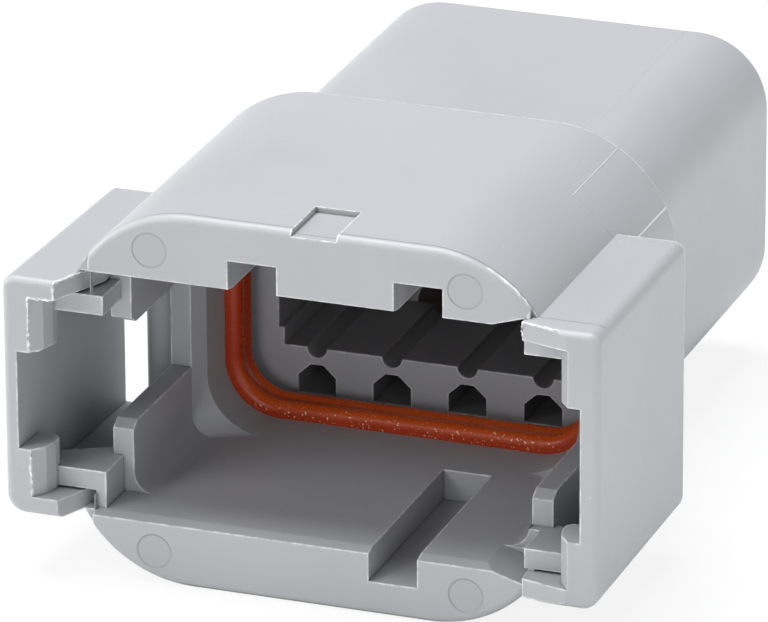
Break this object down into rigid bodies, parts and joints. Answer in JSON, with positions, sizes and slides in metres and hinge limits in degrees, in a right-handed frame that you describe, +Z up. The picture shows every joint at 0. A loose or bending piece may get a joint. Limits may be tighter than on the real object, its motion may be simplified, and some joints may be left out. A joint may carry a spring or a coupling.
{
  "type": "sealed automotive connector",
  "caption": "Sealed rectangular wire connector receptacle with rounded hood, open side guards, ring seal and rear wire seal.",
  "frame": {"origin": "centre of the bounding box's footprint, level with the flat underside of the hood", "axes": "+X across the width, -Y out of the mating front, +Y out of the wire entry, +Z up"},
  "size_m": [0.0318, 0.042, 0.0202],
  "materials": {
    "moulded_plastic": "satin moulded",
    "ring_seal_rubber": "satin",
    "wire_seal_rubber": "satin"
  },
  "bodies": {
    "root": {"housing": "moulded_plastic", "interface_seal": "ring_seal_rubber", "wire_seal": "wire_seal_rubber"}
  },
  "joints": []
}
